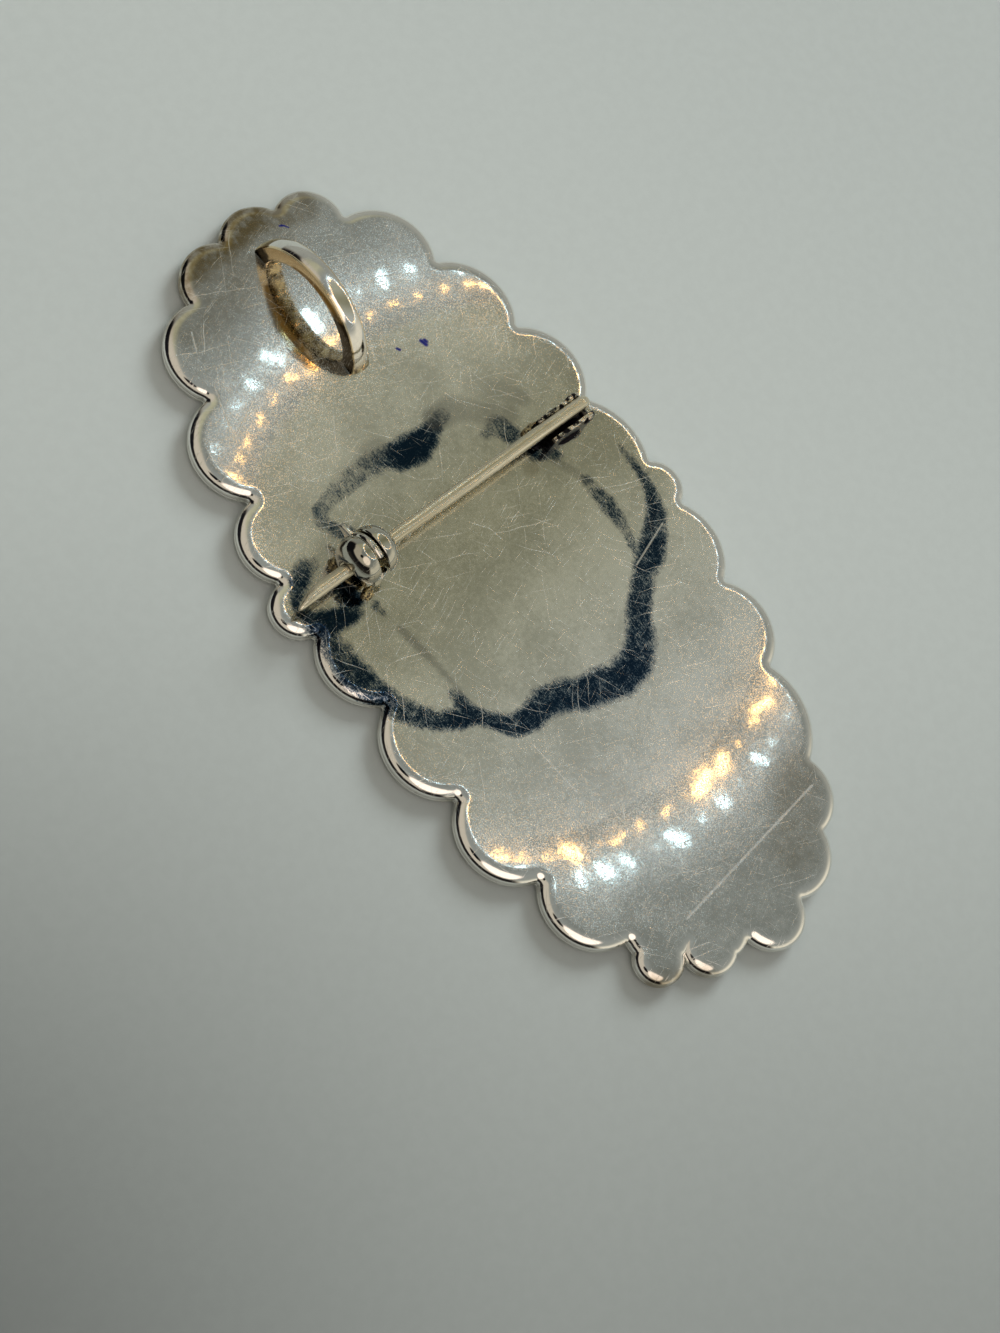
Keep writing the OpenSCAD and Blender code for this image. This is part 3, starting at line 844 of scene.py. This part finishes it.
def in_catch_frame(points):
    """Points with the pin's axis as third and the far side of the mouth as first, at the catch's middle, to
    the brooch's frame."""
    a, b, c = np.moveaxis(points, -1, 0)
    return in_pin_frame(np.stack([c - CATCH_DISTANCE, a, b + STEM_HEIGHT], -1))


def open_ring(loop, opening):
    """Section turned about the pin's axis, but for a gap with parallel sides a bore to each side of the
    opening's middle: a section point at radius r starts and ends asin(bore / r) from it."""
    r, along = loop[:, 0], loop[:, 1]
    half = np.arcsin(np.clip(BORE / r, -1, 1))
    t = np.linspace(0, 1, RING_STEPS)[:, None]
    angle = opening + half + t * (2 * np.pi - 2 * half)
    return np.stack([r * np.cos(angle), r * np.sin(angle), np.broadcast_to(along, angle.shape)], -1)


def catch_half(name, side, material):
    """One half of the ball: a bead-shaped section, flat towards the slit, turned about the bore."""
    arc = np.linspace(0, np.pi, 200)
    centre = np.array([BALL_RADIUS - BEAD_RADIUS, BEAD_OFFSET])
    bead = centre + BEAD_RADIUS * np.c_[np.sin(arc), -np.cos(arc)]
    face = SLIT / 2
    bead = bead[(bead[:, 1] > face + 0.05) & (bead[:, 0] > BORE + 0.06)][::4]
    edge = np.array([(BORE + 0.01, bead[-1, 1] - 0.02), (BORE + 0.01, face + 0.04), (BORE + 0.05, face),
                     (bead[0, 0] - 0.06, face)])
    rings = open_ring(np.vstack([bead, edge]) * (1, side), MOUTH)
    ring_piece(name, in_catch_frame(rings), material, 38, flip=side < 0)


def lever_tab():
    """Rings of a rounded rectangle that shrink as they go out: the tab tapers to a blunt tip."""
    reach = np.linspace(TAB_ROOT, TAB_TIP, TAB_ROWS)
    share = (reach - TAB_ROOT) / 1.9
    tall = TAB_HEIGHT * (1 - 0.66 * share**1.2) * np.sqrt(np.clip(1.02 - share**8, 0, 1))
    deep = LEVER_THICKNESS / 2 * 0.96 * (1 - 0.35 * share)
    lift = 0.08 * share**2 - 0.12
    ring = np.linspace(0, 2 * np.pi, TAB_SIDES, endpoint=False)
    wide = np.sign(np.cos(ring)) * np.abs(np.cos(ring)) ** TAB_SQUARENESS
    high = np.sign(np.sin(ring)) * np.abs(np.sin(ring)) ** TAB_SQUARENESS
    return np.stack([np.broadcast_to(reach[:, None], (TAB_ROWS, TAB_SIDES)),
                     tall[:, None] * high + lift[:, None], -deep[:, None] * wide], -1)


def catch_lever():
    """Disc with a rounded rim and a gap as wide as the pin, and its tab."""
    half = LEVER_THICKNESS / 2
    arc = np.linspace(-np.pi / 2, np.pi / 2, 13)
    rim = np.c_[LEVER_RADIUS - half + half * np.cos(arc), half * np.sin(arc)]
    inner = [(BORE + 0.04, half), (BORE + 0.01, half - 0.04),
             (BORE + 0.01, 0.04 - half), (BORE + 0.04, -half)]
    rings = open_ring(np.vstack([rim, inner]), LEVER_GAP)
    disc = rings.reshape(-1, 3)
    points = np.vstack([disc, lever_tab().reshape(-1, 3)])
    faces = capped(*rings.shape[:2])
    faces += [[len(disc) + v for v in f] for f in capped(TAB_ROWS, TAB_SIDES)]
    material = polished_material("polished_lever", LEVER_SILVER, 0.06, lines=0.2, wear=0.008)
    new_piece("catch_lever_disc", in_catch_frame(points), faces, material, 45,
              body="lever", nodes=("catch_lever",), slot="lever")


BALL = polished_material("polished_ball", BALL_SILVER, 0.04, lines=0.15, wear=0.006)
catch_half("catch_near_half", 1, BALL)
catch_half("catch_far_half", -1, BALL)
catch_lever()
mound("catch_solder_foot", -CATCH_DISTANCE, 0.0, 1.9, 1.45, 0.34, 0.0, 2, SOLDER)
mound("catch_solder_lump", -CATCH_DISTANCE - 1.7, 1.25, 0.8, 0.5, 0.55, 0.9, 4, SOLDER)
mound("catch_solder_drip", -CATCH_DISTANCE - 1.0, -2.1, 0.75, 0.5, 0.4, 0.4, 7, SOLDER)

# Ground: a plain pale board under the brooch. It is matt, and a painted shadow darkens its colour towards the
# foot of the picture, most at its left, where the light falls off.

BOARD_GREY = (0.622, 0.682, 0.688)
BOARD_HALF = 4000.0
# directions on the ground that run to the right and upwards in the picture
PICTURE_RIGHT = (0.765, -0.644, 0.0)
PICTURE_UP = (0.545, 0.839, 0.0)


def board_material():
    """Greenish grey with painted shade: a soft painted shadow darkens it towards the foot and lower left of
    the picture, and it is painted a little darker to its upper right; far from the brooch the first two fade
    again."""
    material, n = new_material("pale_board")
    place = n.add("ShaderNodeTexCoord").outputs["Object"]
    mm = n.vector("SCALE", place, scale=1 / MM)
    right = n.vector("DOT_PRODUCT", mm, PICTURE_RIGHT)
    up = n.vector("DOT_PRODUCT", mm, PICTURE_UP)
    # painted shadow: the board's colour darkens towards the foot and lower left, and a little to the upper
    # right
    near = n.span(n.vector("LENGTH", mm), 85.0, 170.0, 1.0, 0.35)
    foot = n.times(n.span(up, 10.0, -90.0, 0.0, 0.45), near)
    left = n.times(n.times(n.span(right, 10.0, -58.0), n.span(up, 18.0, -62.0, 0.0, 0.56)), near)
    light = n.times(n.math("SUBTRACT", 1.0, foot), n.math("SUBTRACT", 1.0, left))
    corner = n.plus(right, n.times(up, 0.75))
    light = n.times(light, n.span(corner, 0.0, 110.0, 1.0, 0.86))
    light = n.times(light, n.span(n.noise(place, 900.0, 3.0, 0.6), 0.3, 0.7, 0.985, 1.015))
    colour = n.vector("SCALE", BOARD_GREY, scale=light)
    n.surface(n.add("ShaderNodeBsdfPrincipled", {"Base Color": colour, "Roughness": 0.75}).outputs[0])
    return material


def ground():
    """Wide flat sheet just under the plate's front."""
    corners = BOARD_HALF * np.array([(-1, -1, 0), (1, -1, 0), (1, 1, 0), (-1, 1, 0)])
    board = mesh_object("ground", corners, [(0, 1, 2, 3)], board_material())


ground()

# Camera: held to one side of the brooch, 62 degrees above the ground, turned so that the bail is at the
# upper left of the picture.

CAMERA_DISTANCE = 208.0
CAMERA_TILT = np.radians(28)
AIM = (-5.93, -5.995, PLATE_TOP)
FOOT_ANGLE = np.radians(132)
LONG_AXIS = np.radians(126.573)
SENSOR_WIDTH = 36.0
# focal length and the picture's height, in the picture's own pixels
FOCAL_PIXELS = 2600
PICTURE_PIXELS = 1333


def place_camera():
    """Camera axes from three angles: its tilt from the upright, the picture direction of the point below it,
    and the picture direction of the brooch's long axis."""
    f = np.array([np.cos(FOOT_ANGLE), np.sin(FOOT_ANGLE)])
    g = np.array([-f[1], f[0]])
    plane = np.array([[np.sin(LONG_AXIS), -np.cos(LONG_AXIS)], [np.cos(LONG_AXIS), np.sin(LONG_AXIS)]])
    foot = np.r_[plane @ (f * (1, -1)), 0.0]
    across = np.r_[plane @ (g * (1, -1)), 0.0]
    up = np.array([0.0, 0.0, 1.0])
    toward = np.cos(CAMERA_TILT) * foot - np.sin(CAMERA_TILT) * up
    back = np.sin(CAMERA_TILT) * foot + np.cos(CAMERA_TILT) * up
    right = f[0] * toward + g[0] * across
    down = f[1] * toward + g[1] * across
    camera = bpy.data.objects.new("camera", bpy.data.cameras.new("camera"))
    bpy.context.scene.collection.objects.link(camera)
    matrix = Matrix([(*row, 0) for row in np.c_[right, -down, back].tolist()] + [(0, 0, 0, 1)])
    matrix.translation = Vector((np.array(AIM) + CAMERA_DISTANCE * back) * MM)
    camera.matrix_world = matrix
    camera.data.sensor_width = SENSOR_WIDTH
    camera.data.lens = SENSOR_WIDTH * FOCAL_PIXELS / PICTURE_PIXELS
    camera.data.clip_start = 0.01
    camera.data.clip_end = 10.0
    bpy.context.scene.camera = camera


place_camera()

# Light: a round lamp about the camera that the plate mirrors, with a ring of small warm lights inside a ring
# of cool ones and a soft dim screen inside both. A wide lamp lights the ground, and the room is dark beyond
# the catch.

RING_MIDDLE = np.array([21.87, 5.62, 41.58])
RING_RADIUS = 28.6
RING_LIGHTS = 72
RING_SIDES = 64
# direction in which the middle of the plate mirrors the camera
RING_AIM = np.array([0.460, 0.093, 0.883])
# name, radius, length along the radius, width across it, unevenness of turn, colour, strength
LIGHT_RINGS = [
    ("ring_warm", RING_RADIUS, 0.75, 1.9, 0.6, (1.0, 0.56, 0.20, 1), 10.0),
    ("ring_cool", RING_RADIUS + 2.6, 1.9, 0.75, 0.35, (0.62, 0.86, 1.0, 1), 6.5),
]
SCREEN_NEAR = (0.495, 0.525, 0.525, 1)
SCREEN_FAR = (0.39, 0.395, 0.315, 1)
SCREEN_DIM = (0.26, 0.255, 0.175, 1)
# distance from the ring and share of the glow there
GLOW = [(-3.0, 0.0), (-1.5, 0.25), (0.5, 0.8), (2.5, 1.0), (4.5, 0.55), (7.0, 0.12), (10.0, 0.0)]
GLOW_COLOUR = (0.80, 0.90, 1.0, 1)
GLOW_STRENGTH = 0.27
GROUND_LAMP_PLACE = np.array([600.0, 130.0, 380.0])
GROUND_LAMP_TARGET = np.array([0.0, 10.0, 0.0])
GROUND_LAMP_SIZE = 320.0
GROUND_LAMP_BRIGHTNESS = 9.4


def mirrored_sheet(name, points, faces, material):
    """Sheet of light that shows only in reflections."""
    sheet = mesh_object(name, points, faces, material)
    sheet.visible_camera = sheet.visible_diffuse = sheet.visible_shadow = False
    return sheet


def plain_light(name, colour, strength):
    """Material that gives off one colour."""
    material, n = new_material(name)
    n.surface(n.add("ShaderNodeEmission", {"Color": colour, "Strength": strength}).outputs[0])
    return material


def screen_light():
    """Soft light that turns from grey to olive towards +Y, with a dim band across it; y is in metres."""
    material, n = new_material("ring_screen")
    y = n.split(n.add("ShaderNodeTexCoord").outputs["Object"])[1]
    colour = n.mix(n.span(y, -0.024, 0.004), SCREEN_NEAR, SCREEN_FAR)
    band = n.span(n.math("ABSOLUTE", n.math("SUBTRACT", y, 0.012)), 0.001, 0.0135, 0.95, 0.0)
    colour = n.mix(band, colour, SCREEN_DIM)
    n.surface(n.add("ShaderNodeEmission", {"Color": colour, "Strength": 1.0}).outputs[0])
    return material


def glow_light():
    """Faint light that adds to what lies behind it, by the share that the mesh keeps for each point."""
    material, n = new_material("ring_glow")
    strength = n.times(n.kept("fade"), GLOW_STRENGTH)
    light = n.add("ShaderNodeEmission", {"Color": GLOW_COLOUR, "Strength": strength}).outputs[0]
    clear = n.add("ShaderNodeBsdfTransparent").outputs[0]
    n.surface(n.add("ShaderNodeAddShader", {0: light, 1: clear}).outputs[0])
    return material


def ring_lamp():
    """Uneven oblongs round two circles and a disc inside them, in a plane square to the ring's aim. Each
    oblong's size and turn are drawn at random, and one in four shrinks to a third. The warm ones lie along
    the ring and the cool ones across it, and a faint glow fades out from the ring to both sides."""
    side = np.cross((0.0, 1.0, 0.0), RING_AIM)
    side /= np.linalg.norm(side)
    along = np.cross(RING_AIM, side)
    corner = np.array([(-1, -1), (-1, 1), (1, 1), (1, -1)]) / 2
    chance = np.random.default_rng(12)
    for name, radius, long, wide, unevenness, colour, strength in LIGHT_RINGS:
        angle = np.linspace(0, 2 * np.pi, RING_LIGHTS, endpoint=False)
        angle = angle + chance.uniform(-0.015, 0.015, RING_LIGHTS)
        outward = np.c_[np.cos(angle), np.sin(angle)]
        across = np.c_[-outward[:, 1], outward[:, 0]]
        size = chance.uniform(0.45, 1.45, RING_LIGHTS)
        size = (size * np.where(chance.uniform(size=RING_LIGHTS) < 0.25, 0.33, 1.0))[:, None, None]
        turn = unevenness * chance.normal(size=RING_LIGHTS)
        c, s = np.cos(turn)[:, None, None], np.sin(turn)[:, None, None]
        u, v = long * corner[:, :1] * size, wide * corner[:, 1:] * size
        flat = (radius + c * u - s * v) * outward[:, None] + (s * u + c * v) * across[:, None]
        flat = flat.reshape(-1, 2)
        points = RING_MIDDLE + flat[:, :1] * side + flat[:, 1:] * along
        faces = np.arange(len(points)).reshape(-1, 4)
        mirrored_sheet(name, points, faces, plain_light(name, colour, strength))

    angle = np.linspace(0, 2 * np.pi, RING_SIDES, endpoint=False)[:, None]
    circle = np.cos(angle) * side + np.sin(angle) * along
    points = RING_MIDDLE + 1.0 * RING_AIM + (RING_RADIUS - 2.0) * circle
    mirrored_sheet("ring_screen", points, np.arange(RING_SIDES)[None], screen_light())
    away, share = np.array(GLOW).T
    rings = (RING_RADIUS + away)[:, None, None] * circle
    points = RING_MIDDLE - 0.5 * RING_AIM + rings.reshape(-1, 3)
    glow = mirrored_sheet("ring_glow", points, ring_faces(len(GLOW), RING_SIDES), glow_light())
    keep_values(glow, fade=np.repeat(share, RING_SIDES))


def ground_lamp():
    """Wide soft lamp far to the right, for the ground alone."""
    data = bpy.data.lights.new("ground_lamp", "AREA")
    data.shape = "SQUARE"
    data.size = GROUND_LAMP_SIZE * MM
    data.color = (0.97, 1.0, 0.975)
    data.energy = GROUND_LAMP_BRIGHTNESS * np.pi * data.size**2
    lamp = bpy.data.objects.new("ground_lamp", data)
    bpy.context.scene.collection.objects.link(lamp)
    aim = Vector(GROUND_LAMP_TARGET - GROUND_LAMP_PLACE)
    turn = aim.to_track_quat("-Z", "Y").to_matrix().to_4x4()
    lamp.matrix_world = Matrix.Translation(Vector(GROUND_LAMP_PLACE) * MM) @ turn
    lamp.visible_glossy = False


ROOM_GREY = (0.34, 0.35, 0.32, 1)
OVERHEAD_GREY = (0.28, 0.30, 0.29, 1)
NEAR_END_CREAM = (0.80, 0.76, 0.64, 1)
FAR_END_OLIVE = (0.48, 0.47, 0.34, 1)
CATCH_SIDE_BEIGE = (0.56, 0.51, 0.43, 1)
WINDOW_LIGHT = (1.5, 1.3, 1.15, 1)
SHELF_HIGH = (0.008, 0.008, 0.010, 1)
SHELF_LOW = (0.040, 0.036, 0.032, 1)
DOOR_DARK = (0.008, 0.008, 0.010, 1)
CAMERA_DARK = (0.006, 0.006, 0.008, 1)


def room():
    """Sky by direction: grey overhead, cream low at the near end, olive high beyond the bail with a dark
    doorway below; beige on the catch's side with a window above dark shelves, and a small dark patch about
    the camera."""
    world = bpy.data.worlds.new("room")
    bpy.context.scene.world = world
    world.use_nodes = True
    n = Nodes(world.node_tree)
    n.tree.nodes.clear()
    direction = n.add("ShaderNodeTexCoord").outputs["Generated"]
    x, y, z = n.split(direction)

    def patch(sky, middle, begins, full, colour):
        """Sky with a round patch that begins and is full at these cosines of the angle from its middle."""
        return n.mix(n.span(n.vector("DOT_PRODUCT", direction, middle), begins, full), sky, colour)

    near_end = n.times(n.span(y, -0.2, -0.7), n.span(z, 0.6, 0.3))
    catch_side = n.span(n.math("SUBTRACT", x, n.times(y, 0.25)), 0.05, -0.2)
    sky = n.mix(near_end, ROOM_GREY, NEAR_END_CREAM)
    sky = n.mix(n.span(z, 0.35, 0.85), sky, OVERHEAD_GREY)
    far_end = n.times(n.span(y, 0.3, 0.55), n.span(z, 0.5, 0.7))
    sky = n.mix(far_end, sky, FAR_END_OLIVE)
    sky = n.mix(n.times(catch_side, n.span(z, 0.97, 0.92)), sky, CATCH_SIDE_BEIGE)
    sky = patch(sky, (-0.27, -0.42, 0.866), 0.93, 0.96, WINDOW_LIGHT)
    shelf = n.mix(n.span(z, 0.45, 0.0), SHELF_HIGH, SHELF_LOW)
    sky = n.mix(n.times(catch_side, n.span(z, 0.62, 0.50)), sky, shelf)
    sky = patch(sky, (-0.31, 0.91, 0.26), 0.88, 0.93, DOOR_DARK)
    sky = patch(sky, (-0.43, 0.02, 0.90), 0.985, 0.991, CAMERA_DARK)
    background = n.add("ShaderNodeBackground", {"Color": sky, "Strength": 1.0}).outputs[0]
    n.surface(background, "ShaderNodeOutputWorld")


ring_lamp()
ground_lamp()
room()
bpy.context.scene.view_settings.view_transform = "Standard"
